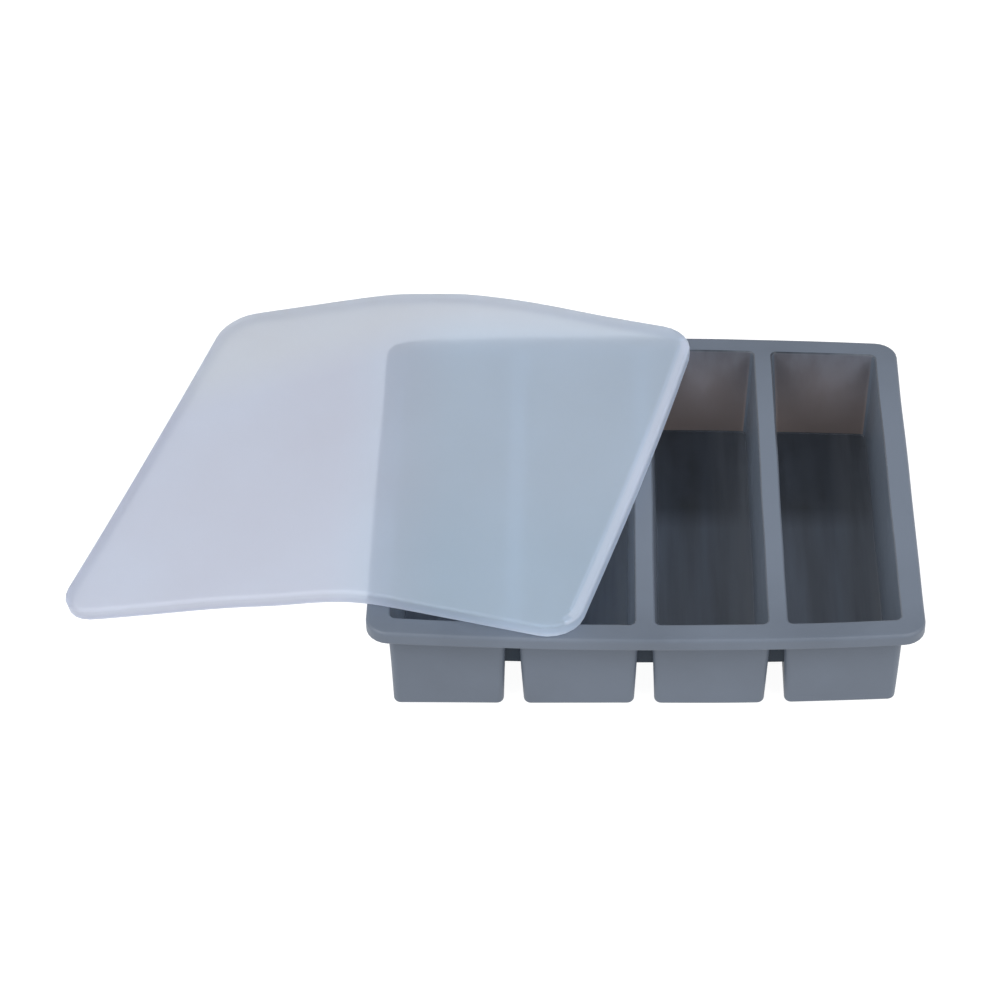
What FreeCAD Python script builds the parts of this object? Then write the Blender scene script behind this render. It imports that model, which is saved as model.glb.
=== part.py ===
"""Four-cavity silicone loaf mould with its loose flexible lid.

The mould stands on the flat bottoms of its four cups.  The lid lies askew over
the left half of the rim: flat on the front and back borders, then bent down
over the left border until its left edge rests on the surface.

+X runs across the four cavities, +Y runs along them, +Z is up.  The origin is
the middle of the underside of mould and lid together.
"""
import FreeCAD, Part
import math
import os
from Sketcher import Constraint

SIZES = {
    # mould body
    "mould_width": 210.0,
    "mould_depth": 179.2,
    "mould_height": 41.4,
    "mould_x": 61.67,
    "mould_y": -24.48,
    "front_bow": 3.9,
    "back_bow": 3.7,
    "rim_radius": 8.5,
    "lip_height": 5.2,
    "lip_wall": 2.6,
    "flange_thick": 2.2,
    # cavities
    "cavity_width": 42.3,
    "cavity_pitch": 49.8,
    "cavity_depth": 38.9,
    "border": 9.1,
    "inner_draft": 5.5,
    "inner_corner": 2.2,
    "inner_floor_radius": 1.2,
    # cup walls
    "cup_wall": 1.5,
    "outer_draft": 2.2,
    "outer_corner": 3.6,
    "outer_foot_radius": 1.5,
    # webs across the slots between the cups
    "web_depth": 22.8,
    "web_thick": 2.0,
    "web_inset": 2.6,
    # lid sheet
    "lid_width": 212.0,
    "lid_depth": 191.8,
    "lid_corner": 12.0,
    "lid_thick": 1.5,
    "skirt_height": 5.6,
    # how the lid lies
    "lid_x": 34.97,
    "lid_y": -120.48,
    "lid_lift": 0.9,
    "lid_turn": -15.4,
    # how the lid bends
    "fold_turn": 6.5,
    "flat_run": 72.5,
    "sag_radius": 120.0,
    "sag_angle": 20.3,
    "slope_run": 82.5,
    "lift_radius": 200.0,
    "end_angle": 11.4,
    "spare_run": 26.0,
}
CAVITIES = 4

os.makedirs("parts", exist_ok=True)
doc = FreeCAD.newDocument("loaf_mould")


def make_sheet():
    """Spreadsheet that holds every driving size."""
    sheet = doc.addObject("Spreadsheet::Sheet", "sizes")
    for row, (name, value) in enumerate(SIZES.items(), start=1):
        sheet.set("A%d" % row, name)
        sheet.set("B%d" % row, str(value))
        sheet.setAlias("B%d" % row, name)
    doc.recompute()
    return sheet


sheet = make_sheet()


def size(name):
    return float(sheet.get(name))


def vector(x, y, z=0.0):
    return FreeCAD.Vector(x, y, z)


def bind(sketch, index, name, expression):
    """Name a sketch dimension and drive it from the sheet."""
    sketch.renameConstraint(index, name)
    sketch.setExpression("Constraints." + name, expression)


def body_sketch(body, name, height):
    """Sketch on the body's XY plane, raised to the height expression."""
    sketch = body.newObject("Sketcher::SketchObject", name)
    plane = next(f for f in body.Origin.OriginFeatures if f.Role == "XY_Plane")
    sketch.AttachmentSupport = [(plane, "")]
    sketch.MapMode = "FlatFace"
    sketch.setExpression("AttachmentOffset.Base.z", height)
    return sketch


def place(sketch, point, index, tag, x_expression, y_expression, x, y):
    """Pin a point of a sketch element to a place given by two expressions."""
    across = sketch.addConstraint(Constraint("DistanceX", -1, 1, index, point, x))
    bind(sketch, across, tag + "_x", x_expression)
    along = sketch.addConstraint(Constraint("DistanceY", -1, 1, index, point, y))
    bind(sketch, along, tag + "_y", y_expression)


def join(sketch, ring):
    """Join sketch elements end to start into one closed ring."""
    for here, after in zip(ring, ring[1:] + ring[:1]):
        sketch.addConstraint(Constraint("Coincident", here, 2, after, 1))


def rectangle(sketch, tag, left, front, right, back):
    """Rectangle from two opposite corners; each side is (expression, value)."""
    (x0, y0), (x1, y1) = (left[1], front[1]), (right[1], back[1])
    corners = [vector(x0, y0), vector(x1, y0), vector(x1, y1), vector(x0, y1)]
    ends = corners[1:] + corners[:1]
    ring = [sketch.addGeometry(Part.LineSegment(a, b)) for a, b in zip(corners, ends)]
    join(sketch, ring)
    for n, line in enumerate(ring):
        sketch.addConstraint(Constraint("Horizontal" if n % 2 == 0 else "Vertical", line))
    place(sketch, 1, ring[0], tag + "_near", left[0], front[0], x0, y0)
    place(sketch, 1, ring[2], tag + "_far", right[0], back[0], x1, y1)


def bowed_outline(sketch, inset, inset_value):
    """Rim outline: straight sides, front and back borders bowed outwards."""
    half = size("mould_width") / 2 - inset_value
    deep = size("mould_depth") / 2 - inset_value
    front = Part.Arc(vector(-half, -deep), vector(0, -deep - size("front_bow")),
                     vector(half, -deep))
    back = Part.Arc(vector(half, deep), vector(0, deep + size("back_bow")),
                    vector(-half, deep))
    right = Part.LineSegment(vector(half, -deep), vector(half, deep))
    left = Part.LineSegment(vector(-half, deep), vector(-half, -deep))
    ring = [sketch.addGeometry(g) for g in (front, right, back, left)]
    join(sketch, ring)
    wide = "(sizes.mould_width / 2 - %s)" % inset
    long = "(sizes.mould_depth / 2 - %s)" % inset
    place(sketch, 1, ring[1], "near", wide, "-" + long, half, -deep)
    place(sketch, 1, ring[3], "far", "-" + wide, long, -half, deep)
    sketch.addConstraint(Constraint("Vertical", ring[1]))
    sketch.addConstraint(Constraint("Vertical", ring[3]))
    for tag, border in (("front", ring[0]), ("back", ring[2])):
        rise = size(tag + "_bow")
        radius = (half ** 2 + rise ** 2) / (2 * rise)
        bend = sketch.addConstraint(Constraint("Radius", border, radius))
        bow = "sizes.%s_bow" % tag
        bind(sketch, bend, tag + "_bend", "(%s^2 + %s^2) / (2 * %s)" % (wide, bow, bow))


def cup_rectangles(sketch, grow, grow_value):
    """One rectangle per cavity mouth, grown outwards; its ends follow the bowed rim."""
    half_width = size("cavity_width") / 2 + grow_value
    for n in range(CAVITIES):
        step = n - (CAVITIES - 1) / 2
        middle = "%s * sizes.cavity_pitch" % step
        span = "(sizes.cavity_width / 2 + %s)" % grow
        share = "(1 - (2 * %s / sizes.mould_width)^2)" % middle
        centre = step * size("cavity_pitch")
        bulge = 1 - (2 * centre / size("mould_width")) ** 2
        reach = size("mould_depth") / 2 - size("border") + grow_value
        ends = {}
        for tag in ("front", "back"):
            far = "(sizes.mould_depth / 2 - sizes.border + sizes.%s_bow * %s + %s)"
            ends[tag] = (far % (tag, share, grow), reach + size(tag + "_bow") * bulge)
        rectangle(sketch, "cup%d" % (n + 1),
                  ("%s - %s" % (middle, span), centre - half_width),
                  ("-" + ends["front"][0], -ends["front"][1]),
                  ("%s + %s" % (middle, span), centre + half_width), ends["back"])


def pad(body, sketch, name, length, downward=False, draft=None):
    feature = body.newObject("PartDesign::Pad", name)
    feature.Profile = sketch
    feature.Reversed = downward
    feature.setExpression("Length", length)
    if draft:
        feature.setExpression("TaperAngle", draft)
    doc.recompute()
    return feature


def pocket(body, sketch, name, length, upward=False, draft=None):
    """Pocket that must take material away."""
    before = body.Shape.Volume
    feature = body.newObject("PartDesign::Pocket", name)
    feature.Profile = sketch
    feature.Reversed = upward
    feature.setExpression("Length", length)
    if draft:
        feature.setExpression("TaperAngle", draft)
    doc.recompute()
    if body.Shape.Volume >= before:
        raise RuntimeError(name + " cuts nothing")
    return feature


def fillet(body, base, name, radius, chosen):
    """Round the base feature's edges for which chosen(edge) is true."""
    edges = ["Edge%d" % (n + 1) for n, edge in enumerate(base.Shape.Edges) if chosen(edge)]
    feature = body.newObject("PartDesign::Fillet", name)
    feature.Base = (base, edges)
    feature.setExpression("Radius", radius)
    doc.recompute()
    return feature


def rises(edge):
    """True for an edge that climbs more than half of its own length."""
    box = edge.BoundBox
    return box.ZLength > 0.5 * edge.Length


def level_at(edge, height):
    box = edge.BoundBox
    return abs(box.ZMin - height) < 0.01 and abs(box.ZMax - height) < 0.01


def make_mould():
    """One-piece silicone mould: lipped rim, four tapered cups, webs between them."""
    body = doc.addObject("PartDesign::Body", "mould_tray")
    body.Label = "mould_tray"

    outline = body_sketch(body, "rim_outline", "sizes.mould_height - sizes.lip_height")
    bowed_outline(outline, "0", 0.0)
    pad(body, outline, "rim", "sizes.lip_height")

    under = body_sketch(body, "under_outline", "sizes.mould_height - sizes.lip_height")
    bowed_outline(under, "sizes.lip_wall", size("lip_wall"))
    hollow = pocket(body, under, "under_rim", "sizes.lip_height - sizes.flange_thick", True)
    under_corner = size("mould_width") / 2 - size("lip_wall") + 0.01
    inner = fillet(body, hollow, "under_rim_corners", "sizes.rim_radius - sizes.lip_wall",
                   lambda edge: rises(edge) and abs(edge.BoundBox.Center.x) < under_corner)
    fillet(body, inner, "rim_corners", "sizes.rim_radius",
           lambda edge: rises(edge) and abs(edge.BoundBox.Center.x) > under_corner)

    cup_sketch = body_sketch(body, "cup_outlines", "sizes.mould_height")
    cup_rectangles(cup_sketch, "sizes.cup_wall", size("cup_wall"))
    cups = pad(body, cup_sketch, "cups", "sizes.mould_height", True, "-sizes.outer_draft")
    flange_under = size("mould_height") - size("flange_thick")
    cup_corners = fillet(body, cups, "cup_corners", "sizes.outer_corner",
                         lambda edge: rises(edge) and edge.BoundBox.ZMin < 1.0)
    fillet(body, cup_corners, "cup_feet", "sizes.outer_foot_radius",
           lambda edge: level_at(edge, 0.0))

    webs = body_sketch(body, "web_outlines", "sizes.mould_height - sizes.web_depth")
    for n in range(CAVITIES - 1):
        step = n - (CAVITIES - 2) / 2
        middle = "%s * sizes.cavity_pitch" % step
        centre = step * size("cavity_pitch")
        gap = "(sizes.cavity_pitch - sizes.cavity_width - sizes.cup_wall) / 2"
        half_gap = (size("cavity_pitch") - size("cavity_width") - size("cup_wall")) / 2
        for tag, side in (("front", -1), ("back", 1)):
            sign = "-" if side < 0 else ""
            outer = "%s(sizes.mould_depth / 2 - sizes.border - sizes.web_inset)" % sign
            inner = outer[:-1] + " - sizes.web_thick)"
            outer_value = side * (size("mould_depth") / 2 - size("border") - size("web_inset"))
            inner_value = outer_value - side * size("web_thick")
            low, high = (outer, outer_value), (inner, inner_value)
            if side > 0:
                low, high = high, low
            rectangle(webs, "%s_web%d" % (tag, n + 1),
                      ("%s - %s" % (middle, gap), centre - half_gap), low,
                      ("%s + %s" % (middle, gap), centre + half_gap), high)
    pad(body, webs, "webs", "sizes.web_depth - sizes.flange_thick / 2")

    mouths = body_sketch(body, "cavity_mouths", "sizes.mould_height")
    cup_rectangles(mouths, "0", 0.0)
    cavities = pocket(body, mouths, "cavities", "sizes.cavity_depth", False,
                      "-sizes.inner_draft")
    floor = size("mould_height") - size("cavity_depth")
    cavity_corners = fillet(body, cavities, "cavity_corners", "sizes.inner_corner",
                            lambda edge: rises(edge)
                            and abs(edge.BoundBox.ZMin - floor) < 0.01
                            and edge.BoundBox.ZMax > flange_under)
    fillet(body, cavity_corners, "cavity_floors", "sizes.inner_floor_radius",
           lambda edge: level_at(edge, floor))
    body.Placement.Base = vector(size("mould_x"), size("mould_y"))
    body.setExpression("Placement.Base.x", "sizes.mould_x")
    body.setExpression("Placement.Base.y", "sizes.mould_y")
    return body


def turned(angle):
    """Unit vector square to a line that falls to the left by the angle."""
    return vector(-math.sin(angle), math.cos(angle))


def arc(centre, radius, begin, end):
    circle = Part.Circle(centre, vector(0, 0, 1), radius)
    return Part.ArcOfCircle(circle, begin, end)


def bend_chain(sketch, tag, depth, depth_value):
    """One bent line of the lid's section, at a depth under the lid's top face.

    Level run, sagging arc, straight slope, easing arc and a spare straight end,
    from right to left.  Returns the elements and the chain's two end points.
    """
    sag, end = math.radians(size("sag_angle")), math.radians(size("end_angle"))
    sag_radius = size("sag_radius") - depth_value
    lift_radius = size("lift_radius") + depth_value
    start = vector(size("spare_run"), -depth_value)
    level_end = vector(-size("flat_run"), -depth_value)
    sag_centre = level_end - turned(0) * sag_radius
    sag_end = sag_centre + turned(sag) * sag_radius
    slope_end = sag_end - vector(math.cos(sag), math.sin(sag)) * size("slope_run")
    lift_centre = slope_end + turned(sag) * lift_radius
    lift_end = lift_centre - turned(end) * lift_radius
    finish = lift_end - vector(math.cos(end), math.sin(end)) * size("spare_run")

    quarter = math.pi / 2
    level, sagging, slope, lifting, spare = [sketch.addGeometry(shape) for shape in (
        Part.LineSegment(start, level_end),
        arc(sag_centre, sag_radius, quarter, quarter + sag),
        Part.LineSegment(sag_end, slope_end),
        arc(lift_centre, lift_radius, 3 * quarter + end, 3 * quarter + sag),
        Part.LineSegment(lift_end, finish))]
    # The easing arc runs anticlockwise, so it starts where the spare end begins.
    sketch.addConstraint(Constraint("Tangent", level, 2, sagging, 1))
    sketch.addConstraint(Constraint("Tangent", sagging, 2, slope, 1))
    sketch.addConstraint(Constraint("Tangent", slope, 2, lifting, 2))
    sketch.addConstraint(Constraint("Tangent", lifting, 1, spare, 1))
    sketch.addConstraint(Constraint("Horizontal", level))
    place(sketch, 1, level, tag + "_start", "sizes.spare_run", "-(%s)" % depth,
          start.x, start.y)

    def dimension(kind, index, name, value, expression):
        bind(sketch, sketch.addConstraint(Constraint(kind, index, value)), tag + name, expression)

    dimension("Distance", level, "_level", start.x - level_end.x,
              "sizes.flat_run + sizes.spare_run")
    dimension("Radius", sagging, "_sag", sag_radius, "sizes.sag_radius - (%s)" % depth)
    dimension("Distance", slope, "_slope", size("slope_run"), "sizes.slope_run")
    dimension("Radius", lifting, "_lift", lift_radius, "sizes.lift_radius + (%s)" % depth)
    dimension("Distance", spare, "_spare", size("spare_run"), "sizes.spare_run")
    dimension("Angle", slope, "_tilt", math.pi + sag, "180 + sizes.sag_angle")
    dimension("Angle", spare, "_end_tilt", math.pi + end, "180 + sizes.end_angle")
    return (level, spare), (start, finish)


def bent_slab(name, top, top_value, bottom, bottom_value):
    """Slab between two depths under the lid's bent top face."""
    sketch = doc.addObject("Sketcher::SketchObject", name + "_section")
    upper, upper_points = bend_chain(sketch, "upper", top, top_value)
    lower, lower_points = bend_chain(sketch, "lower", bottom, bottom_value)
    for end, point in ((0, 1), (1, 2)):
        line = sketch.addGeometry(Part.LineSegment(upper_points[end], lower_points[end]))
        sketch.addConstraint(Constraint("Coincident", line, 1, upper[end], point))
        sketch.addConstraint(Constraint("Coincident", line, 2, lower[end], point))
    across = FreeCAD.Rotation(vector(0, 0, 1), size("fold_turn"))
    upright = FreeCAD.Rotation(vector(1, 0, 0), 90)
    sketch.Placement = FreeCAD.Placement(vector(0, 0), across.multiply(upright))
    slab = doc.addObject("Part::Extrusion", name)
    slab.Base = sketch
    slab.DirMode = "Normal"
    slab.Solid = True
    slab.setExpression("LengthFwd", "sizes.spare_run")
    slab.setExpression("LengthRev", "sizes.lid_depth + sizes.spare_run")
    return slab


def rounded_block(name, inset, inset_value):
    """Upright block on the lid's rounded plan outline, drawn in by the inset."""
    sketch = doc.addObject("Sketcher::SketchObject", name + "_plan")
    x0, x1 = inset_value - size("lid_width"), -inset_value
    y0, y1 = inset_value, size("lid_depth") - inset_value
    radius = size("lid_corner") - inset_value
    corners = [(x1, y0, 270), (x1, y1, 0), (x0, y1, 90), (x0, y0, 180)]
    arcs = []
    for x, y, start in corners:
        centre = vector(x - radius if x == x1 else x + radius,
                        y + radius if y == y0 else y - radius)
        begin = math.radians(start)
        arcs.append(arc(centre, radius, begin, begin + math.pi / 2))
    ids = []
    for here, after in zip(arcs, arcs[1:] + arcs[:1]):
        ids.append(sketch.addGeometry(here))
        ids.append(sketch.addGeometry(Part.LineSegment(here.EndPoint, after.StartPoint)))
    for here, after in zip(ids, ids[1:] + ids[:1]):
        sketch.addConstraint(Constraint("Tangent", here, 2, after, 1))
    for n, line in enumerate(ids[1::2]):
        sketch.addConstraint(Constraint("Vertical" if n % 2 == 0 else "Horizontal", line))
    for corner in ids[2::2]:
        sketch.addConstraint(Constraint("Equal", ids[0], corner))
    bend = sketch.addConstraint(Constraint("Radius", ids[0], radius))
    bind(sketch, bend, "corner", "sizes.lid_corner - (%s)" % inset)
    right, back, left, front = ids[1::2]
    for tag, line, kind, value, expression in (
            ("right", right, "DistanceX", x1, "-(%s)" % inset),
            ("back", back, "DistanceY", y1, "sizes.lid_depth - (%s)" % inset),
            ("left", left, "DistanceX", x0, "%s - sizes.lid_width" % inset),
            ("front", front, "DistanceY", y0, inset)):
        reach = sketch.addConstraint(Constraint(kind, -1, 1, line, 1, value))
        bind(sketch, reach, tag, expression)
    block = doc.addObject("Part::Extrusion", name)
    block.Base = sketch
    block.DirMode = "Normal"
    block.Solid = True
    block.setExpression("LengthFwd", "sizes.mould_height")
    block.setExpression("LengthRev", "2 * sizes.mould_height")
    return block


def common(name, parts):
    feature = doc.addObject("Part::MultiCommon", name)
    feature.Shapes = parts
    return feature


def make_lid():
    """Bent sheet with a turned-down skirt all round, open underneath."""
    outer = common("lid_outside", [
        bent_slab("lid_slab", "0", 0.0, "sizes.skirt_height", size("skirt_height")),
        rounded_block("lid_block", "0", 0.0)])
    below = "sizes.skirt_height + sizes.lid_thick"
    inner = common("lid_inside", [
        bent_slab("room_slab", "sizes.lid_thick", size("lid_thick"), below,
                  size("skirt_height") + size("lid_thick")),
        rounded_block("room_block", "sizes.lid_thick", size("lid_thick"))])
    lid = doc.addObject("Part::Cut", "lid")
    lid.Label = "lid"
    lid.Base = outer
    lid.Tool = inner
    lid.Placement = FreeCAD.Placement(
        vector(size("lid_x"), size("lid_y")),
        FreeCAD.Rotation(vector(0, 0, 1), size("lid_turn")))
    lid.setExpression("Placement.Base.x", "sizes.lid_x")
    lid.setExpression("Placement.Base.y", "sizes.lid_y")
    lid.setExpression("Placement.Base.z",
                      "sizes.mould_height + sizes.skirt_height + sizes.lid_lift")
    return lid


def check(nodes):
    """Stop if any object failed or any node has no valid solid."""
    for thing in doc.Objects:
        if "Invalid" in thing.State or "Error" in thing.State:
            raise RuntimeError("%s failed: %s" % (thing.Name, thing.State))
    for node in nodes:
        shape = node.Shape
        if shape.isNull() or not shape.isValid() or not shape.Solids:
            raise RuntimeError(node.Label + " has no valid solid")


nodes = [make_mould(), make_lid()]
doc.recompute()
check(nodes)
for node in nodes:
    node.Shape.exportStep("parts/%s.step" % node.Label)
    box = node.Shape.BoundBox
    print("%-11s %d solid, %8.0f mm3, x %.1f..%.1f y %.1f..%.1f z %.2f..%.2f" % (
        node.Label, len(node.Shape.Solids), node.Shape.Volume, box.XMin, box.XMax,
        box.YMin, box.YMax, box.ZMin, box.ZMax))
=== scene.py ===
"""Looks of the four-cavity silicone loaf mould and its loose frosted lid.

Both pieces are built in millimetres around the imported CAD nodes' boxes and
turned into metres when their meshes are made.  +X runs across the cavities,
+Y along them and +Z up from the surface that they rest on.
"""
import math

import bmesh
import bpy
from mathutils import Matrix, Vector, noise
from mathutils.geometry import delaunay_2d_cdt


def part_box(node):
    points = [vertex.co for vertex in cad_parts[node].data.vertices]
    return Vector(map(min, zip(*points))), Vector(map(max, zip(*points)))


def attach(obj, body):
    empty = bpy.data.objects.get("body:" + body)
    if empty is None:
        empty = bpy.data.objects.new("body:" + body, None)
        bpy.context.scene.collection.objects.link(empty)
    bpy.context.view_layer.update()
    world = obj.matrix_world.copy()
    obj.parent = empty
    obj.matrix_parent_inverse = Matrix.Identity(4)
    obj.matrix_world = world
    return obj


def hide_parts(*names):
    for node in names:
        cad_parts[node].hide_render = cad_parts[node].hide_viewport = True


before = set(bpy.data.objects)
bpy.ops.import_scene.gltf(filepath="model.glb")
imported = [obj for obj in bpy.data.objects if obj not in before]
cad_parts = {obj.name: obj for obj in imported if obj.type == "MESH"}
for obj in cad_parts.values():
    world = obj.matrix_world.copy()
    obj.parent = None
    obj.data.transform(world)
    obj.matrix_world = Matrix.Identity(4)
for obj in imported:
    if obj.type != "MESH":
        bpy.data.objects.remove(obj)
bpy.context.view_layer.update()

MM = 0.001

# ---------------------------------------------------------------- mould sizes
FRONT_BOW, BACK_BOW = 3.9, 3.7
tray_low, tray_high = [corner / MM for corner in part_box("mould_tray")]
WIDTH = tray_high.x - tray_low.x
DEPTH = tray_high.y - tray_low.y - FRONT_BOW - BACK_BOW
HEIGHT = tray_high.z - tray_low.z
TRAY_X = (tray_low.x + tray_high.x) / 2
TRAY_Y = (tray_low.y + tray_high.y + FRONT_BOW - BACK_BOW) / 2

RIM_RADIUS = 8.5
RIM_ROUND = 1.4
LIP_HEIGHT = 5.2
LIP_WALL = 2.6
LIP_EDGE = 0.7
FLANGE = 2.2
UNDER_FILLET = 0.8

CAVITIES = 4
PITCH = 49.8
CAVITY_WIDTH = 42.3
CAVITY_DEPTH = 39.4
BORDER = 9.1
END_DRAFT = math.radians(5.5)
SIDE_DRAFT = math.radians(3.0)
INNER_CORNER = 2.2
MOUTH_ROUND = 0.6
FLOOR_ROUND = 0.5

CUP_WALL = 1.5
OUTER_DRAFT = math.radians(2.2)
OUTER_CORNER = 2.8
CUP_FILLET = 0.9
FOOT_ROUND = 1.3

WEB_INSET = 2.6
WEB_THICK = 2.0
WEB_DEPTH = 22.8

# The front-left cup feet stand out, from LEAN_START left of the middle on.
FOOT_LEAN = 3.4
LEAN_START, LEAN_RUN, LEAN_POWER = 10.0, 87.0, 1.5
# Soft walls wander by this much sideways and upwards over WANDER_SIZE.
WANDER, WANDER_LIFT, WANDER_SIZE = 0.35, 0.22, 38.0
WANDER_SHIFT = Vector((3.1, 7.7, 1.3))
WANDER_SEED = 177           # without a seed noise_vector follows the clock

# ------------------------------------------------------------------ lid sizes
LID_WIDTH = 212.0
LID_DEPTH = 191.8
LID_CORNER = 14.0
LID_THICK = 1.5
LID_SKIRT = 5.6
LID_ROUND = 1.4
LID_BORDER = 5.2            # finishes change this far in from the right edge,
LID_RIDGE = 3.6             # and again here,
LID_FOOT = 1.6              # and this far above the skirt's foot
LID_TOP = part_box("lid")[1].z / MM
LID_POINT = Vector((34.97, -120.48))
LID_TURN = math.radians(-15.4)
FOLD_TURN = LID_TURN + math.radians(6.5)
FLAT_RUN = 72.5
SAG_RADIUS, SAG_ANGLE = 120.0, math.radians(20.3)
SLOPE_RUN = 82.5
LIFT_RADIUS, END_ANGLE = 200.0, math.radians(11.4)

# How far the soft lid's edges give within its plane, and the humps and dips of
# its overhangs as (height, middle, reach), the last two in shares of its width.
RIGHT_BULGE, RIGHT_PULL = 0.9, 1.8
LEFT_BULGE, LEFT_PULL = 0.8, 2.6
CORNER_PULL = 1.6
FRONT_DIP = (-1.8, 0.53, 0.10)
BACK_HUMP = (1.0, 0.335, 0.11)
BACK_DIP = (-1.4, 0.555, 0.085)
LID_WAVE, LID_WAVE_SIZE = 0.12, 60.0

# --------------------------------------------------------------- mesh density
TURN_STEPS = 6              # round a corner of an outline
ROUND_STEPS = 5             # over a cavity's or cup's rounded edges
RIM_STEPS = 7               # over the rim's top edge
EDGE_STEPS = 4              # over small edges
HIDDEN_STEPS = 3            # over the edges under the rim
LID_STEPS = 6               # over the lid's rounded border
RIM_ACROSS, RIM_ALONG = 40, 34
BAR_ACROSS, CAVITY_ALONG, CUP_ALONG = 8, 32, 28
WALL_LEVELS, WEB_LEVELS, FOOT_LEVELS = 8, 3, 6
LID_ACROSS, LID_ALONG = 40, 36
SKIRT_LEVELS, INNER_LEVELS = 4, 3
TRIANGLE_PITCH = 5.0
SPOT_CLEAR = 0.55           # least distance from an edge point, in pitches
MERGE_DISTANCE = 1e-6

# ------------------------------------------------------------------- finishes
CAVITY, END_WALL, SIDE_WALL, WEB = 1, 2, 3, 4
LID_EDGE_HIGHLIGHT, LID_INNER_PAINTED_LIGHT, LID_MARGIN = 1, 2, 3
LEVEL_SLACK = 0.1           # a wall's faces may pass its rounded ends by this
END_WALL_DEPTH = 0.6        # end wall faces lie this near the far wall's plane

MOULD_IOR = 1.43
LID_IOR, LID_SPECULAR = 1.2, 0.35
MOULD_ROUGHNESS_SPAN, CAVITY_ROUGHNESS_SPAN = 0.12, 0.18
LID_ROUGHNESS = (0.38, 0.46)
GRAIN_HEIGHT = 0.0002
# (texture scale, strength) of the fine grain.
MOULD_GRAIN, CAVITY_GRAIN, LID_GRAIN = (900.0, 0.15), (700.0, 0.1), (700.0, 0.08)
# (texture scale, stretch, detail) of the larger noises.
BLOTCHES = (24.0, (1, 1, 1), 5.0)
SCUFFS = (130.0, (1, 0.07, 0.4), 5.0)
PATCHES = (42.0, (1, 0.6, 1), 4.0)
CLOUDS = (14.0, (1, 1, 1), 3.0)
GRAIN_DETAIL = 3.0

SLATE = (0.104, 0.126, 0.163)
# Painted shade: the cavity finish (floors, their fillets and the top of each mouth's
# rounding) is coloured far darker than the silicone is.
SLATE_FLOOR_PAINTED_SHADE = (0.034, 0.042, 0.056)
# Painted shade: the cavities' end walls are coloured darker than the silicone is.
SLATE_END_PAINTED_SHADE = (0.085, 0.100, 0.130)
SLATE_SIDE = (0.108, 0.130, 0.165)
# Painted shade: the webs between the cups are coloured near-black, as if in shadow.
WEB_PAINTED_SHADE = (0.008, 0.018, 0.032)
# Painted light: a pale warm tint on the end walls that grows towards the floor.
END_WALL_WARM_LIGHT = (0.215, 0.180, 0.174)

# Tones, as factors on a finish's colour.
# The midway tone is painted light, lighter midway along the cavities' length.
BLOTCH_DARK, BLOTCH_LIGHT, MIDWAY_PAINTED_LIGHT = 0.92, 1.08, 1.16
SCUFF_DARK, SCUFF_LIGHT, PATCH_TONE = 0.80, 1.25, 1.55
# Painted reflection: the near tones make the cavity floors paler towards the front.
NEAR_REFLECTION_DARK, NEAR_REFLECTION_LIGHT = 1.9, 2.9
# Painted light: this tone lightens the right of each cavity's floor, in streaks.
RIGHT_PAINTED_LIGHT = (3.0, 2.75, 2.45)
# Painted shade: this tone darkens the lid over the front of the mould.
AHEAD_PAINTED_SHADE = (0.80, 0.88, 0.90)
CLOUD_TONE = 1.2

STREAK_LEAST = 0.3          # share of the painted light on a cavity's right between its streaks
CLOUD_MOST = 0.14           # share of the cloud tone where clouds are thickest

# Fades, as the shares at the two ends of a stretch and where it starts and ends.
MIDWAY_FADE = (1.0, 0.0, 0.04, 0.085)       # metres from the tray's middle
PATCH_FADE = (0.0, 0.7, 0.5, 0.72)          # of the patch noise
WARM_LIGHT_FADE = (0.95, 0.18, 0.006, HEIGHT * MM)            # metres above the table
NEAR_REFLECTION_FADE = (0.8, 0.0, (TRAY_Y + 17) * MM, (TRAY_Y + 30) * MM)
RIGHT_LIGHT_FADE = (0.0, 0.9, 0.54, 0.84)          # of a cavity's share across
OVER_MOULD_FADE = (0.0, 1.0, -0.06, -0.015)             # metres along X
BEHIND_FADE = (0.0, 1.0, 0.05, 0.08)        # metres along Y
AHEAD_FADE = (0.0, 0.4, -0.03, -0.08)

# Name, share of light let through, tint to the left, over the mould, behind it;
# in the order of the finishes' numbers: LID_EDGE_HIGHLIGHT, LID_INNER_PAINTED_LIGHT, LID_MARGIN.
LID_FINISHES = (
    # Painted light: each finish's tints change by place, standing in for the light on
    # the lid and the mould that shows through it.
    ("lid_silicone", 0.58,
     (0.435, 0.458, 0.530), (0.430, 0.500, 0.585), (0.460, 0.484, 0.530)),
    # Painted highlight: less clear and a little paler, for a light band along the right
    # border and a light line along the skirt's foot.
    ("lid_silicone_edge_highlight", 0.28,
     (0.430, 0.455, 0.540), (0.450, 0.500, 0.596), (0.445, 0.480, 0.560)),
    # Painted light: paler than the sheet, so the inside of the skirt does not fall into
    # shade.
    ("lid_silicone_inner_painted_light", 0.72,
     (0.475, 0.495, 0.565), (0.56, 0.64, 0.76), (0.60, 0.62, 0.67)),
    # Grades the inner edge of the painted highlight band and covers the skirt's
    # outside.
    ("lid_silicone_margin", 0.44,
     (0.435, 0.458, 0.530), (0.437, 0.508, 0.615), (0.452, 0.482, 0.545)),
)

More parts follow.
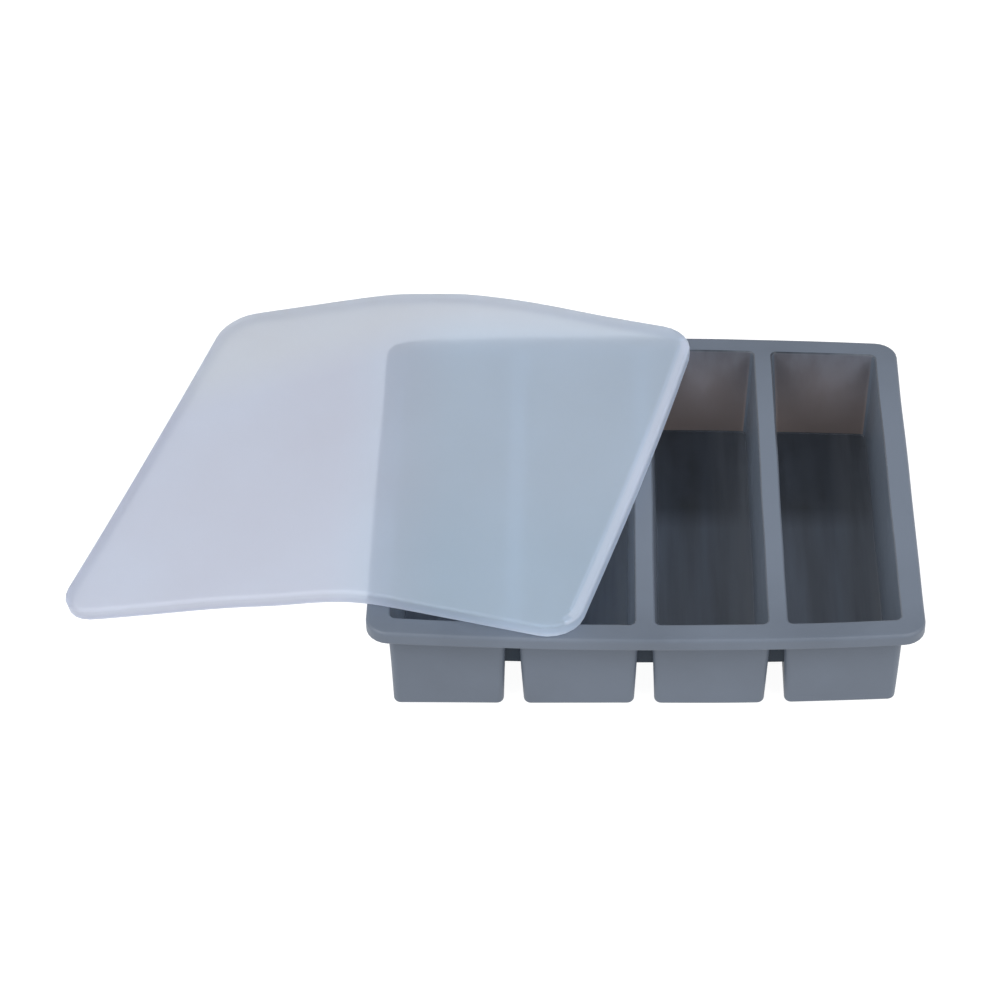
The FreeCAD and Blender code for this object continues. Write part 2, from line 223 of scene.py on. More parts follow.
# ------------------------------------------------------ stage, lights, camera
TABLE_REACH = 6.0
TABLE_TONE, TABLE_GLOW, TABLE_ROUGHNESS = 0.2, 0.95, 0.9
KEY_ELEVATION, KEY_DISTANCE, KEY_SIZE = 48, 1.3, 0.9
KEYS = (("key_left", -60, 13.4), ("key_right", 60, 12.0))  # name, azimuth, watts
KEY_AIM = Vector((0.02, -0.02, 0.03))
WORLD_HORIZON, WORLD_ZENITH = 0.80, 0.12
WORLD_FADE = (0.35, 0.9)    # heights between which the surround darkens
CAMERA_DOWN, CAMERA_TURN, CAMERA_ROLL = 40.0, -2.258, -1.286
# From the tray's middle to the point looked at, and from there to the camera,
# in rim widths.
CAMERA_AIM = (-0.26657, -0.054735, 0.192857)
CAMERA_DISTANCE = 6.14994
CAMERA_LENS, CAMERA_SENSOR = 118.53, 36.0


def lerp(low, high, share):
    """Value or point at a share of the way from low to high."""
    return low + (high - low) * share


def even(count):
    """Shares that cut a stretch into count equal pieces, without its ends."""
    return [n / count for n in range(1, count)]


def scaled(colour, factor):
    """Colour times one factor, or times one for each of its parts."""
    factors = factor if isinstance(factor, tuple) else (factor,) * 3
    return tuple(part * each for part, each in zip(colour, factors))


def quarter(steps=ROUND_STEPS):
    """(sine, cosine) pairs over a quarter turn, ends included."""
    angles = [math.pi / 2 * n / steps for n in range(steps + 1)]
    return [(math.sin(a), math.cos(a)) for a in angles]


def outline(left, front, right, back, radius, across, along):
    """Rounded rectangle as a closed anticlockwise loop of (x, y).

    The loop starts halfway round the front-left corner.  across and along are
    the shares of the straight stretches at which the sides get their points.
    """
    x0, x1, y0, y1 = left + radius, right - radius, front + radius, back - radius
    loop = []
    for corner, (cx, cy) in enumerate(((x0, y0), (x1, y0), (x1, y1), (x0, y1))):
        for step in range(TURN_STEPS + 1):
            angle = math.pi * (1 + (corner + step / TURN_STEPS) / 2)
            loop.append((cx + radius * math.cos(angle), cy + radius * math.sin(angle)))
        if corner == 0:
            loop += [(lerp(x0, x1, share), front) for share in across]
        elif corner == 1:
            loop += [(right, lerp(y0, y1, share)) for share in along]
        elif corner == 2:
            loop += [(lerp(x1, x0, share), back) for share in across]
        else:
            loop += [(left, lerp(y1, y0, share)) for share in along]
    half_turn = TURN_STEPS // 2
    return loop[half_turn:] + loop[:half_turn]


def inside(x, y, loop):
    """True if (x, y) lies inside the closed loop of (x, y) points."""
    odd = False
    for (ax, ay), (bx, by) in zip(loop, loop[1:] + loop[:1]):
        if (ay > y) != (by > y) and x < ax + (y - ay) * (bx - ax) / (by - ay):
            odd = not odd
    return odd


class Shell:
    """A closed mesh as it is built: points, faces and each face's finish."""

    def __init__(self):
        self.points = []
        self.faces = []
        self.finishes = []

    def ring(self, loop, height):
        start = len(self.points)
        self.points += [Vector((x, y, height)) for x, y in loop]
        return list(range(start, len(self.points)))

    def face(self, corners, finish=0):
        self.faces.append(corners)
        self.finishes.append(finish)

    def band(self, upper, lower, finish=0, skip=()):
        """Strip of quads between two rings; skip names the quads left out."""
        count = len(upper)
        for n in range(count):
            if n not in skip:
                after = (n + 1) % count
                self.face((upper[n], lower[n], lower[after], upper[after]), finish)

    def loft(self, rings, finish=0):
        for upper, lower in zip(rings, rings[1:]):
            self.band(upper, lower, finish)

    def patch(self, ring, across, along, finish=0):
        """Quad grid that fills a ring made by outline()."""
        nx, ny = across + TURN_STEPS, along + TURN_STEPS
        grid = [[None] * (ny + 1) for _ in range(nx + 1)]
        for i in range(nx + 1):
            grid[i][0] = ring[i]
            grid[i][ny] = ring[2 * nx + ny - i]
        for j in range(1, ny):
            grid[nx][j] = ring[nx + j]
            grid[0][j] = ring[-j]
        point = self.points
        c00, c10, c01, c11 = [point[grid[i][j]] for j in (0, ny) for i in (0, nx)]
        for i in range(1, nx):
            front, back = point[grid[i][0]], point[grid[i][ny]]
            u = (front.x - c00.x) / (c10.x - c00.x)
            for j in range(1, ny):
                left, right = point[grid[0][j]], point[grid[nx][j]]
                v = (left.y - c00.y) / (c01.y - c00.y)
                sides = lerp(front, back, v) + lerp(left, right, u)
                grid[i][j] = len(point)
                point.append(sides - lerp(lerp(c00, c10, u), lerp(c01, c11, u), v))
        for i in range(nx):
            for j in range(ny):
                self.face((grid[i][j], grid[i + 1][j], grid[i + 1][j + 1],
                           grid[i][j + 1]), finish)

    def plate(self, outer, holes, gaps=()):
        """Triangles between an outer ring and its holes; gaps are quads left open."""
        pitch = TRIANGLE_PITCH
        rings = [outer] + holes
        known = [index for ring in rings for index in ring]
        place = {index: n for n, index in enumerate(known)}
        edges = [(place[a], place[b]) for ring in rings
                 for a, b in zip(ring, ring[1:] + ring[:1])]
        for gap in gaps:
            edges += [(place[gap[0]], place[gap[1]]), (place[gap[2]], place[gap[3]])]
        rim, *closed = [[(self.points[i].x, self.points[i].y) for i in loop]
                        for loop in rings + list(gaps)]
        height = self.points[outer[0]].z

        def open_here(x, y):
            return inside(x, y, rim) and not any(inside(x, y, loop) for loop in closed)

        flat = [Vector((self.points[i].x, self.points[i].y)) for i in known]
        xs, ys = [p.x for p in flat], [p.y for p in flat]
        spots = []
        for row in range(int((max(ys) - min(ys)) / pitch)):
            for column in range(int((max(xs) - min(xs)) / pitch)):
                spot = Vector((min(xs) + (column + 0.5 + row % 2 / 2) * pitch,
                               min(ys) + (row + 0.5) * pitch))
                near = min((spot - other).length_squared for other in flat)
                if near > (SPOT_CLEAR * pitch) ** 2 and open_here(spot.x, spot.y):
                    spots.append(spot)
        made = delaunay_2d_cdt(flat + spots, edges, [], 0, MERGE_DISTANCE, True)
        spread = []
        for spot, sources in zip(made[0], made[3]):
            old = [known[s] for s in sources if s < len(known)]
            if old:
                spread.append(old[0])
            else:
                spread.append(len(self.points))
                self.points.append(Vector((spot.x, spot.y, height)))
        for triangle in made[2]:
            middle = sum((made[0][n] for n in triangle), Vector((0, 0))) / 3
            if open_here(middle.x, middle.y):
                self.face([spread[n] for n in triangle])

    def mesh(self, name, move):
        """Blender mesh in metres, each point placed by move(point)."""
        mesh = bpy.data.meshes.new(name)
        mesh.from_pydata([move(p) * MM for p in self.points], [], self.faces)
        for polygon, finish in zip(mesh.polygons, self.finishes):
            polygon.material_index = finish
        work = bmesh.new()
        work.from_mesh(mesh)
        bmesh.ops.recalc_face_normals(work, faces=work.faces)
        work.to_mesh(mesh)
        work.free()
        mesh.shade_smooth()
        return mesh


def piece(name, mesh, body, node, materials):
    """Object that stands for a CAD node and rides on its body."""
    made = bpy.data.objects.new(name, mesh)
    bpy.context.scene.collection.objects.link(made)
    for material in materials:
        mesh.materials.append(material)
    weighted = made.modifiers.new("even_normals", "WEIGHTED_NORMAL")
    weighted.mode = "FACE_AREA"
    weighted.weight = 50
    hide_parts(node)
    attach(made, body)
    return made


# ----------------------------------------------------------------- mould mesh
def rim_rings(shell):
    """Rim from the edge of its flat top, round the lip, to the flange underside."""
    across, along = even(RIM_ACROSS), even(RIM_ALONG)
    profile = [(RIM_ROUND * (1 - s), HEIGHT - RIM_ROUND * (1 - c))
               for s, c in quarter(RIM_STEPS)]
    lip = HEIGHT - LIP_HEIGHT
    profile += [(LIP_EDGE * (1 - c), lip + LIP_EDGE * (1 - s))
                for s, c in quarter(EDGE_STEPS)]
    profile += [(LIP_WALL - LIP_EDGE * (1 - s), lip + LIP_EDGE * (1 - c))
                for s, c in quarter(HIDDEN_STEPS)]
    under = HEIGHT - FLANGE
    profile += [(LIP_WALL + UNDER_FILLET * (1 - c), under - UNDER_FILLET * (1 - s))
                for s, c in quarter(HIDDEN_STEPS)]
    rings = []
    for inset, height in profile:
        x, y = WIDTH / 2 - inset, DEPTH / 2 - inset
        loop = outline(-x, -y, x, y, RIM_RADIUS - inset, across, along)
        rings.append(shell.ring(loop, height))
    shell.loft(rings)
    return rings


def cavity_rings(shell, centre):
    """Inside of one cavity, from its rounded mouth to its floor."""
    across, along = even(BAR_ACROSS), even(CAVITY_ALONG)
    floor = HEIGHT - CAVITY_DEPTH
    lean, side_lean = math.tan(END_DRAFT), math.tan(SIDE_DRAFT)
    top, bottom = HEIGHT - MOUTH_ROUND, floor + FLOOR_ROUND
    profile = [(MOUTH_ROUND * (1 - s), HEIGHT - MOUTH_ROUND * (1 - c))
               for s, c in quarter()]
    profile += [(0, lerp(top, bottom, share)) for share in even(WALL_LEVELS)]
    profile += [(-FLOOR_ROUND * (1 - c), floor + FLOOR_ROUND * (1 - s))
                for s, c in quarter()]
    rings = []
    for growth, height in profile:
        x = CAVITY_WIDTH / 2 + growth - (HEIGHT - height) * side_lean
        y = DEPTH / 2 - BORDER + growth - (HEIGHT - height) * lean
        radius = INNER_CORNER + growth
        loop = outline(centre - x, -y, centre + x, y, radius, across, along)
        rings.append(shell.ring(loop, height))
    first = len(shell.faces)
    shell.loft(rings, CAVITY)
    for n in range(first, len(shell.faces)):
        points = [shell.points[i] for i in shell.faces[n]]
        from_end = [DEPTH / 2 - BORDER - (HEIGHT - p.z) * lean - p.y for p in points]
        foot = min(p.z for p in points)
        if bottom - LEVEL_SLACK < foot < top + LEVEL_SLACK:
            far = max(from_end) < END_WALL_DEPTH
            shell.finishes[n] = END_WALL if far else SIDE_WALL
    shell.patch(rings[-1], len(across) + 1, len(along) + 1, CAVITY)
    return rings[0]


def cup_shares():
    """Shares along a cup's side, with a pair at each end for the webs."""
    straight = DEPTH - 2 * (BORDER - CUP_WALL + OUTER_CORNER)
    outer = (WEB_INSET + CUP_WALL - OUTER_CORNER) / straight
    inner = outer + WEB_THICK / straight
    middle = [lerp(inner, 1 - inner, share) for share in even(CUP_ALONG)]
    return [outer, inner] + middle + [1 - inner, 1 - outer]


def cup_rings(shell, centre):
    """Outside of one cup, from the fillet under the flange to the foot."""
    across, along = even(BAR_ACROSS), cup_shares()
    lean = math.tan(OUTER_DRAFT)
    under = HEIGHT - FLANGE
    web_foot = HEIGHT - WEB_DEPTH
    profile = [(CUP_FILLET * (1 - s), under - CUP_FILLET * (1 - c))
               for s, c in quarter(EDGE_STEPS)]
    start = under - CUP_FILLET
    profile += [(0, lerp(start, web_foot, share)) for share in even(WEB_LEVELS) + [1]]
    web_rings = len(profile)
    profile += [(0, lerp(web_foot, FOOT_ROUND, share)) for share in even(FOOT_LEVELS)]
    profile += [(-FOOT_ROUND * (1 - c), FOOT_ROUND * (1 - s)) for s, c in quarter()]
    rings = []
    for growth, height in profile:
        grown = CUP_WALL + growth - (HEIGHT - height) * lean
        x, y = CAVITY_WIDTH / 2 + grown, DEPTH / 2 - BORDER + grown
        radius = OUTER_CORNER + growth
        loop = outline(centre - x, -y, centre + x, y, radius, across, along)
        rings.append(shell.ring(loop, height))
    return rings, web_rings, len(across) + 1, len(along) + 1


def add_cups(shell, rim_under):
    """The four cups, the webs between them and the flange underside."""
    cups = []
    for n in range(CAVITIES):
        centre = (n - (CAVITIES - 1) / 2) * PITCH
        cups.append(cup_rings(shell, centre))
    _, web_rings, across, along = cups[0]
    web_levels = web_rings - 1
    nx, ny = across + TURN_STEPS, along + TURN_STEPS
    total = 2 * (nx + ny)
    first = TURN_STEPS // 2 + 1
    web_columns = [first, ny - first - 1]
    gaps = []
    for n, (rings, *_) in enumerate(cups):
        skip = []
        for column in web_columns:
            if n < CAVITIES - 1:
                skip.append(nx + column)
            if n > 0:
                skip.append(total - column - 1)
        for level, (upper, lower) in enumerate(zip(rings, rings[1:])):
            shell.band(upper, lower, skip=skip if level < web_levels else ())
        shell.patch(rings[-1], across, along)
        if n == CAVITIES - 1:
            continue
        beside = cups[n + 1][0]
        for column in web_columns:
            near = [(ring[nx + column], other[total - column])
                    for ring, other in zip(rings, beside)]
            far = [(ring[nx + column + 1], other[total - column - 1])
                   for ring, other in zip(rings, beside)]
            for level in range(web_levels):
                for side in (near, far):
                    shell.face(side[level] + side[level + 1][::-1], WEB)
            shell.face(near[web_levels] + far[web_levels][::-1], WEB)
            gaps.append(near[0] + far[0][::-1])
    shell.plate(rim_under, [cup[0][0] for cup in cups], gaps)


def shape_tray(p):
    """Bow front and back, lean the front left foot out, let thin walls wander."""
    share = 1 - (2 * p.x / WIDTH) ** 2
    reach = max(-1.0, min(1.0, p.y / (DEPTH / 2 - BORDER)))
    shift = share * (BACK_BOW * max(0.0, reach) + FRONT_BOW * min(0.0, reach))
    leftward = max(0.0, -p.x - LEAN_START) / LEAN_RUN
    lean = FOOT_LEAN * leftward ** LEAN_POWER * (1 - p.z / HEIGHT)
    shift += lean * min(0.0, reach)
    wander = noise.noise_vector(p / WANDER_SIZE + WANDER_SHIFT)
    lift = wander.z * WANDER_LIFT * min(1.0, p.z / HEIGHT)
    return Vector((TRAY_X + p.x + WANDER * wander.x,
                   TRAY_Y + p.y + shift + WANDER * wander.y, p.z + lift))


def make_tray(materials):
    """One-piece silicone mould."""
    shell = Shell()
    rim = rim_rings(shell)
    mouths = []
    for n in range(CAVITIES):
        centre = (n - (CAVITIES - 1) / 2) * PITCH
        mouths.append(cavity_rings(shell, centre))
    shell.plate(rim[0], mouths)
    add_cups(shell, rim[-1])
    noise.seed_set(WANDER_SEED)
    mesh = shell.mesh("tray", shape_tray)
    return piece("loaf_tray", mesh, "mould", "mould_tray", materials)


# ------------------------------------------------------------------- lid mesh
def fall(run):
    """(drop, slope angle) of the lid's top face at a distance along its bend."""
    sag_end = FLAT_RUN + SAG_RADIUS * math.sin(SAG_ANGLE)
    sag_drop = SAG_RADIUS * (1 - math.cos(SAG_ANGLE))
    slope_end = sag_end + SLOPE_RUN * math.cos(SAG_ANGLE)
    slope_drop = sag_drop + SLOPE_RUN * math.sin(SAG_ANGLE)
    lift_end = slope_end + LIFT_RADIUS * (math.sin(SAG_ANGLE) - math.sin(END_ANGLE))
    lift_drop = slope_drop + LIFT_RADIUS * (math.cos(END_ANGLE) - math.cos(SAG_ANGLE))
    if run < FLAT_RUN:
        return 0.0, 0.0
    if run < sag_end:
        angle = math.asin((run - FLAT_RUN) / SAG_RADIUS)
        return SAG_RADIUS * (1 - math.cos(angle)), angle
    if run < slope_end:
        return sag_drop + (run - sag_end) * math.tan(SAG_ANGLE), SAG_ANGLE
    if run < lift_end:
        angle = math.asin(math.sin(SAG_ANGLE) - (run - slope_end) / LIFT_RADIUS)
        return slope_drop + LIFT_RADIUS * (math.cos(angle) - math.cos(SAG_ANGLE)), angle
    return lift_drop + (run - lift_end) * math.tan(END_ANGLE), END_ANGLE


def swell(share, hump):
    """Height at a share of the lid's width of a smooth (height, middle, reach)."""
    height, middle, reach = hump
    return height * math.exp(-((share - middle) / reach) ** 2)


def relax_lid(p):
    """Let the soft flat lid give a little: edges pulled askew, overhangs slack."""
    u, v = -p.x / LID_WIDTH, p.y / LID_DEPTH
    right = RIGHT_BULGE * math.sin(math.pi * min(1.0, max(0.0, v)))
    right -= RIGHT_PULL * max(0.0, v) ** 3
    left = LEFT_BULGE - LEFT_PULL * (1 - v) ** 2
    slack = swell(u, FRONT_DIP) * (1 - v) ** 3
    slack += (swell(u, BACK_HUMP) + swell(u, BACK_DIP)) * v ** 8
    pulled = p.y + CORNER_PULL * u ** 6 * (1 - v)
    return Vector((p.x + lerp(right, left, u), pulled, p.z)), slack


def shape_lid(p):
    """Turn, bend and place a point given across, along and under the flat lid."""
    p, slack = relax_lid(p)
    turned = Matrix.Rotation(LID_TURN, 2) @ Vector((p.x, p.y))
    fold = Vector((math.cos(FOLD_TURN), math.sin(FOLD_TURN)))
    drop, angle = fall(-turned.dot(fold))
    plan = LID_POINT + turned - fold * math.sin(angle) * p.z
    wave = LID_WAVE * noise.noise(Vector((plan.x, plan.y, 0)) / LID_WAVE_SIZE)
    height = LID_TOP - drop + math.cos(angle) * p.z + wave + slack
    return Vector((plan.x, plan.y, height))


def make_lid(materials):
    """Thin flexible lid with a turned-down skirt all round, open underneath."""
    across, along = even(LID_ACROSS), even(LID_ALONG)
    edge = LID_THICK / 2
    profile = [(LID_BORDER, 0), (LID_RIDGE, 0)]
    profile += [(LID_ROUND * (1 - s), -LID_ROUND * (1 - c))
                for s, c in quarter(LID_STEPS)]
    turned_down = len(profile)
    profile += [(0, lerp(-LID_ROUND, edge - LID_SKIRT, share))
                for share in even(SKIRT_LEVELS)]
    profile += [(edge * (1 - c), -LID_SKIRT + edge * (1 - s))
                for s, c in quarter(EDGE_STEPS)]
    profile += [(edge + edge * s, -LID_SKIRT + edge * (1 - c))
                for s, c in quarter(EDGE_STEPS)[1:]]
    outside = len(profile)
    level = -LID_THICK - LID_ROUND
    profile += [(LID_THICK, lerp(edge - LID_SKIRT, level, share))
                for share in even(INNER_LEVELS)]
    profile += [(LID_THICK + LID_ROUND * (1 - c), level + LID_ROUND * s)
                for s, c in quarter(LID_STEPS)]
    shell = Shell()
    rings = []
    for inset, height in profile:
        loop = outline(inset - LID_WIDTH, inset, -inset, LID_DEPTH - inset,
                       LID_CORNER - inset, across, along)
        rings.append(shell.ring(loop, height))
    shell.loft(rings[:turned_down])
    shell.loft(rings[turned_down - 1:outside], LID_MARGIN)
    # Painted light: the inside of the skirt gets the paler inner finish.
    shell.loft(rings[outside - 1:], LID_INNER_PAINTED_LIGHT)
    # Painted highlight: the right border's band and the skirt's foot get the edge
    # finish, graded inwards by the margin finish.
    for n, corners in enumerate(shell.faces):
        middle = sum((shell.points[i] for i in corners), Vector()) / len(corners)
        if middle.z > -LID_ROUND and middle.x > -LID_BORDER:
            shell.finishes[n] = LID_EDGE_HIGHLIGHT if middle.x > -LID_RIDGE else LID_MARGIN
        elif middle.z < LID_FOOT - LID_SKIRT:
            shell.finishes[n] = LID_EDGE_HIGHLIGHT
    for ring in (rings[0], rings[-1]):
        shell.patch(ring, len(across) + 1, len(along) + 1)
    mesh = shell.mesh("lid", shape_lid)
    lid = piece("frosted_lid", mesh, "lid", "lid", materials)
    lid.visible_shadow = False
    return lid


# ------------------------------------------------------------------ materials
def blank(name):
    """New material and its shader."""
    made = bpy.data.materials.new(name)
    made.use_nodes = True
    return made, made.node_tree.nodes["Principled BSDF"]


class Look:
    """A procedural material as it is built, on the object's own coordinates."""

    def __init__(self, name, ior):
        self.material, self.shader = blank(name)
        self.nodes = self.material.node_tree.nodes
        self.links = self.material.node_tree.links
        self.place = self.nodes.new("ShaderNodeTexCoord").outputs["Object"]
        self.set("IOR", ior)

    def set(self, name, value):
        """Give a socket of the shader a number or a node's output."""
        socket = self.shader.inputs[name]
        if isinstance(value, bpy.types.NodeSocket):
            self.links.new(value, socket)
        else:
            socket.default_value = value

    def noise(self, scale, stretch, detail):
        """Noise value, drawn out along an axis where stretch is below 1."""
        spread = self.nodes.new("ShaderNodeMapping")
        spread.inputs["Scale"].default_value = stretch
        self.links.new(self.place, spread.inputs["Vector"])
        grain = self.nodes.new("ShaderNodeTexNoise")
        grain.inputs["Scale"].default_value = scale
        grain.inputs["Detail"].default_value = detail
        self.links.new(spread.outputs["Vector"], grain.inputs["Vector"])
        return grain.outputs["Fac"]

    def remap(self, value, low, high, start=0.35, end=0.65):
        """Map a value's start..end stretch to low..high."""
        ramp = self.nodes.new("ShaderNodeMapRange")
        for name, number in (("From Min", start), ("From Max", end), ("To Min", low),
                             ("To Max", high)):
            ramp.inputs[name].default_value = number
        self.links.new(value, ramp.inputs["Value"])
        return ramp.outputs["Result"]

    def blend(self, share, under, over):
        """Colour mixed from under to over; each may be a colour or an output."""
        mix = self.nodes.new("ShaderNodeMix")
        mix.data_type = "RGBA"
        self.links.new(share, mix.inputs["Factor"])
        for name, colour in (("A", under), ("B", over)):
            socket = next(i for i in mix.inputs if i.name == name and i.type == "RGBA")
            if isinstance(colour, tuple):
                socket.default_value = colour + (1,)
            else:
                self.links.new(colour, socket)
        return next(o for o in mix.outputs if o.type == "RGBA")

    def axis(self, name):
        """One of the object's own coordinates, in metres."""
        split = self.nodes.new("ShaderNodeSeparateXYZ")
        self.links.new(self.place, split.inputs["Vector"])
        return split.outputs[name]

    def reckon(self, operation, value, other=0.0):
        """Outcome of one arithmetic step; other may be a number or an output."""
        step = self.nodes.new("ShaderNodeMath")
        step.operation = operation
        self.links.new(value, step.inputs[0])
        if isinstance(other, float):
            step.inputs[1].default_value = other
        else:
            self.links.new(other, step.inputs[1])
        return step.outputs["Value"]

    def grain(self, scale, strength):
        """Fine bumps as a mould's surface leaves them."""
        bump = self.nodes.new("ShaderNodeBump")
        bump.inputs["Strength"].default_value = strength
        bump.inputs["Distance"].default_value = GRAIN_HEIGHT
        grain = self.noise(scale, (1, 1, 1), GRAIN_DETAIL)
        self.links.new(grain, bump.inputs["Height"])
        self.set("Normal", bump.outputs["Normal"])

    def from_middle(self):
        """Distance from the middle of the cavities' length, front and back alike."""
        offset = self.reckon("SUBTRACT", self.axis("Y"), TRAY_Y * MM)
        return self.reckon("ABSOLUTE", offset)

    def share_across(self):
        """Place across a cavity: 0 at the divider on its left, 1 on its right."""
        left = (TRAY_X - CAVITIES / 2 * PITCH) * MM
        offset = self.reckon("SUBTRACT", self.axis("X"), left)
        return self.reckon("FRACT", self.reckon("DIVIDE", offset, PITCH * MM))


def mould_silicone(name, colour, roughness):
    """Pigmented slate silicone: mottled, lighter midway, with fine moulded grain.

    The lighter tone midway along the cavities' length is painted light.
    roughness is the lower end of its range, here and inside the cavities.
    """
    look = Look(name, MOULD_IOR)
    blotch = look.noise(*BLOTCHES)
    tone = look.blend(look.remap(blotch, 0.0, 1.0), scaled(colour, BLOTCH_DARK),
                      scaled(colour, BLOTCH_LIGHT))
    # Painted light: a lighter tone midway along the cavities' length.
    midway = look.remap(look.from_middle(), *MIDWAY_FADE)
    look.set("Base Color", look.blend(midway, tone, scaled(colour, MIDWAY_PAINTED_LIGHT)))
    look.set("Roughness",
             look.remap(blotch, roughness, roughness + MOULD_ROUGHNESS_SPAN))
    look.grain(*MOULD_GRAIN)
    return look.material


def cavity_silicone(name, colour, roughness, warm_light=None):
    """Smoother silicone inside the cavities, scuffed lengthwise by the loaves.

    The optional warm tint is painted light on the end walls, growing towards
    the floor.  Without it the surface is paler towards the front, a painted
    reflection, and towards the right of a cavity, painted light.
    """
    look = Look(name, MOULD_IOR)
    scuff = look.noise(*SCUFFS)
    streak = look.remap(scuff, 0.0, 1.0)
    patch = look.remap(look.noise(*PATCHES), *PATCH_FADE)
    tone = look.blend(streak, scaled(colour, SCUFF_DARK), scaled(colour, SCUFF_LIGHT))
    tone = look.blend(patch, tone, scaled(colour, PATCH_TONE))
    if warm_light:
        # Painted light: paler and warmer towards the floor.
        tone = look.blend(look.remap(look.axis("Z"), *WARM_LIGHT_FADE), tone, warm_light)
    else:
        # Painted reflection: paler towards the front of the floor.
        painted_reflection = look.blend(streak, scaled(colour, NEAR_REFLECTION_DARK), scaled(colour, NEAR_REFLECTION_LIGHT))
        tone = look.blend(look.remap(look.axis("Y"), *NEAR_REFLECTION_FADE), tone, painted_reflection)
        # Painted light: paler towards the right of each cavity, in streaks.
        right_light = look.remap(look.share_across(), *RIGHT_LIGHT_FADE)
        right_light = look.reckon("MULTIPLY", right_light, look.remap(scuff, STREAK_LEAST, 1.0))
        tone = look.blend(right_light, tone, scaled(colour, RIGHT_PAINTED_LIGHT))
    look.set("Base Color", tone)
    look.set("Roughness",
             look.remap(scuff, roughness, roughness + CAVITY_ROUGHNESS_SPAN))
    look.grain(*CAVITY_GRAIN)
    return look.material


def frosted_silicone(name, clear, left, right, far):
    """Unpigmented milky silicone; clear is the share of light it lets through.

    Its tint is painted light: it drifts from left, beside the mould, to right,
    over it, and to far behind the mould, standing in for the light on the lid
    and the mould that shows through it.  Over the front of the mould it is a
    little darker, painted shade.
    """
    look = Look(name, LID_IOR)
    look.set("Specular IOR Level", LID_SPECULAR)
    look.set("Transmission Weight", clear)
    # Painted light: the tint changes from place to place across the lid.
    over_mould = look.remap(look.axis("X"), *OVER_MOULD_FADE)
    tone = look.blend(over_mould, left, right)
    tone = look.blend(look.remap(look.axis("Y"), *BEHIND_FADE), tone, far)
    # Painted shade: a little darker over the front of the mould.
    ahead = look.remap(look.axis("Y"), *AHEAD_FADE)
    ahead = look.reckon("MULTIPLY", ahead, over_mould)
    tone = look.blend(ahead, tone, scaled(right, AHEAD_PAINTED_SHADE))
    cloud = look.noise(*CLOUDS)
    thick = look.remap(cloud, 0.0, CLOUD_MOST)
    tone = look.blend(thick, tone, scaled(right, CLOUD_TONE))
    look.set("Base Color", tone)
    look.set("Roughness", look.remap(cloud, *LID_ROUGHNESS))
    look.grain(*LID_GRAIN)
    return look.material


# -------------------------------------------------------------- stage, lights
def make_floor():
    """Pale studio table that glows a little, like paper on a light box."""
    made, shader = blank("table_paper")
    shader.inputs["Base Color"].default_value = (TABLE_TONE, TABLE_TONE, TABLE_TONE, 1)
    shader.inputs["Roughness"].default_value = TABLE_ROUGHNESS
    shader.inputs["Specular IOR Level"].default_value = 0.0
    shader.inputs["Emission Color"].default_value = (1, 1, 1, 1)
    shader.inputs["Emission Strength"].default_value = TABLE_GLOW
    mesh = bpy.data.meshes.new("table")
    mesh.from_pydata([(x * TABLE_REACH, y * TABLE_REACH, 0)
                      for x, y in ((-1, -1), (1, -1), (1, 1), (-1, 1))],
                     [], [(0, 1, 2, 3)])
    mesh.materials.append(made)
    floor = bpy.data.objects.new("table", mesh)
    bpy.context.scene.collection.objects.link(floor)


def soft_box(name, azimuth, power):
    """Square light aimed at the object; azimuth 0 is in front, 90 to its right."""
    light = bpy.data.lights.new(name, "AREA")
    light.shape = "RECTANGLE"
    light.size = light.size_y = KEY_SIZE
    light.energy = power
    holder = bpy.data.objects.new(name, light)
    turn, rise = math.radians(azimuth), math.radians(KEY_ELEVATION)
    away = Vector((math.sin(turn) * math.cos(rise), -math.cos(turn) * math.cos(rise),
                   math.sin(rise)))
    holder.location = KEY_AIM + away * KEY_DISTANCE
    holder.rotation_euler = away.to_track_quat("Z", "Y").to_euler()
    holder.visible_camera = False
    bpy.context.scene.collection.objects.link(holder)


def make_world():
    """Studio surround: bright near the horizon, darker overhead."""
    world = bpy.data.worlds.new("studio")
    bpy.context.scene.world = world
    world.use_nodes = True
    nodes, links = world.node_tree.nodes, world.node_tree.links
    place = nodes.new("ShaderNodeTexCoord")
    split = nodes.new("ShaderNodeSeparateXYZ")
    ramp = nodes.new("ShaderNodeMapRange")
    ramp.interpolation_type = "SMOOTHSTEP"
    ramp.inputs["From Min"].default_value = WORLD_FADE[0]
    ramp.inputs["From Max"].default_value = WORLD_FADE[1]
    ramp.inputs["To Min"].default_value = WORLD_HORIZON
    ramp.inputs["To Max"].default_value = WORLD_ZENITH
    links.new(place.outputs["Generated"], split.inputs["Vector"])
    links.new(split.outputs["Z"], ramp.inputs["Value"])
    links.new(ramp.outputs["Result"], nodes["Background"].inputs["Strength"])
    nodes["Background"].inputs["Color"].default_value = (1, 1, 1, 1)


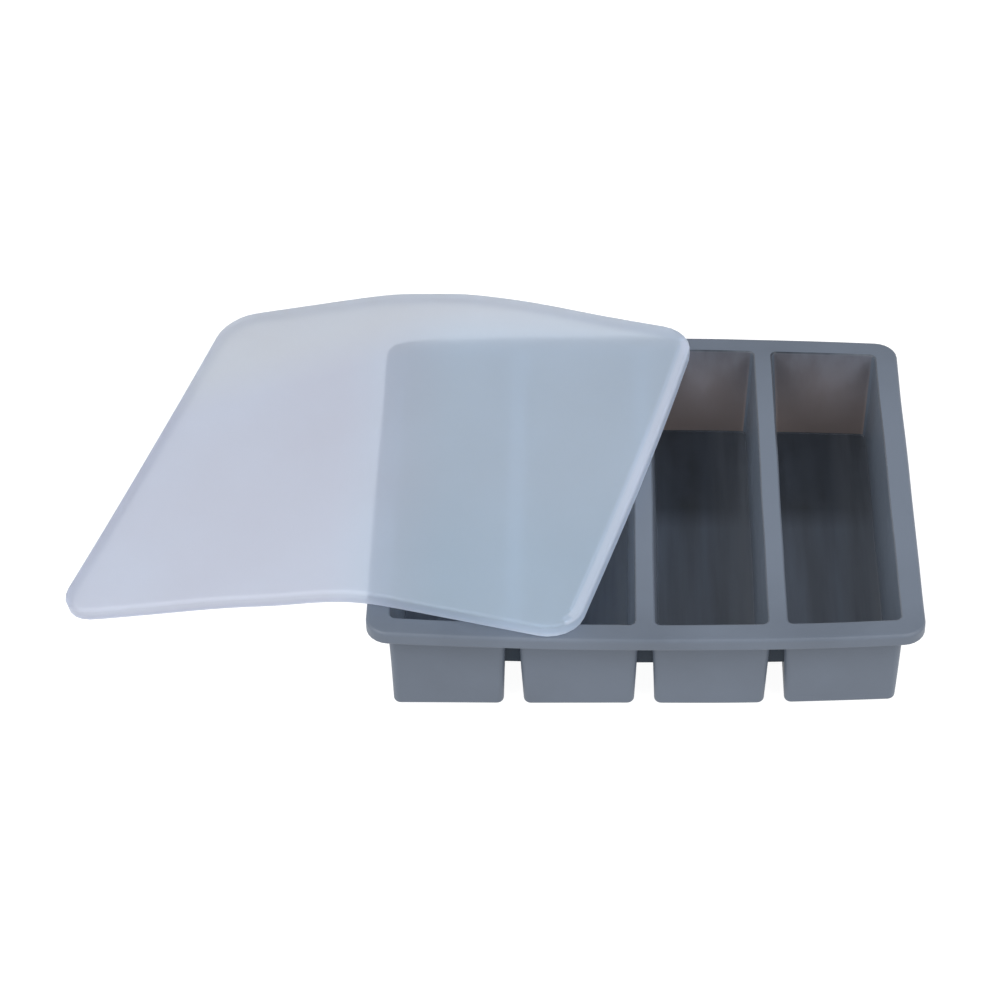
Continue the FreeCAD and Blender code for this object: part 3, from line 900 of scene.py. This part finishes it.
def make_camera():
    """Long lens from the front, looking down at the mould."""
    pitch, yaw, roll = [math.radians(angle)
                        for angle in (CAMERA_DOWN, CAMERA_TURN, CAMERA_ROLL)]
    forward = Vector((math.sin(yaw) * math.cos(pitch), math.cos(yaw) * math.cos(pitch),
                      -math.sin(pitch)))
    level = Vector((math.cos(yaw), -math.sin(yaw), 0))
    upright = level.cross(forward)
    right = math.cos(roll) * level + math.sin(roll) * upright
    up = math.cos(roll) * upright - math.sin(roll) * level
    target = Vector([middle + share * WIDTH for middle, share
                     in zip((TRAY_X, TRAY_Y, 0), CAMERA_AIM)]) * MM
    lens = bpy.data.cameras.new("camera")
    lens.lens = CAMERA_LENS
    lens.sensor_width = CAMERA_SENSOR
    camera = bpy.data.objects.new("camera", lens)
    turned = Matrix((right, up, -forward)).transposed().to_4x4()
    distance = CAMERA_DISTANCE * WIDTH * MM
    camera.matrix_world = Matrix.Translation(target - forward * distance) @ turned
    bpy.context.scene.collection.objects.link(camera)
    bpy.context.scene.camera = camera


def main():
    # In the order of the finishes' numbers: CAVITY, END_WALL, SIDE_WALL, WEB.
    make_tray([
        # Lighter midway along the cavities, painted light.
        mould_silicone("mould_silicone", SLATE, roughness=0.42),
        # Far darker than the silicone, painted shade, with a painted reflection towards
        # the front and painted light on each cavity's right.
        cavity_silicone("mould_silicone_cavity_painted_light_and_shade", SLATE_FLOOR_PAINTED_SHADE, roughness=0.29),
        # Darker than the silicone, painted shade, with warm painted light towards the
        # floor.
        cavity_silicone("mould_silicone_end_wall_painted_light_and_shade", SLATE_END_PAINTED_SHADE, roughness=0.30,
                        warm_light=END_WALL_WARM_LIGHT),
        mould_silicone("mould_silicone_side_wall", SLATE_SIDE, roughness=0.32),
        # Near-black, painted shade.
        mould_silicone("mould_silicone_web_painted_shade", WEB_PAINTED_SHADE, roughness=0.6)])
    make_lid([frosted_silicone(*finish) for finish in LID_FINISHES])
    make_floor()
    for key in KEYS:
        soft_box(*key)
    make_world()
    make_camera()
    bpy.context.scene.view_settings.view_transform = "Standard"


main()
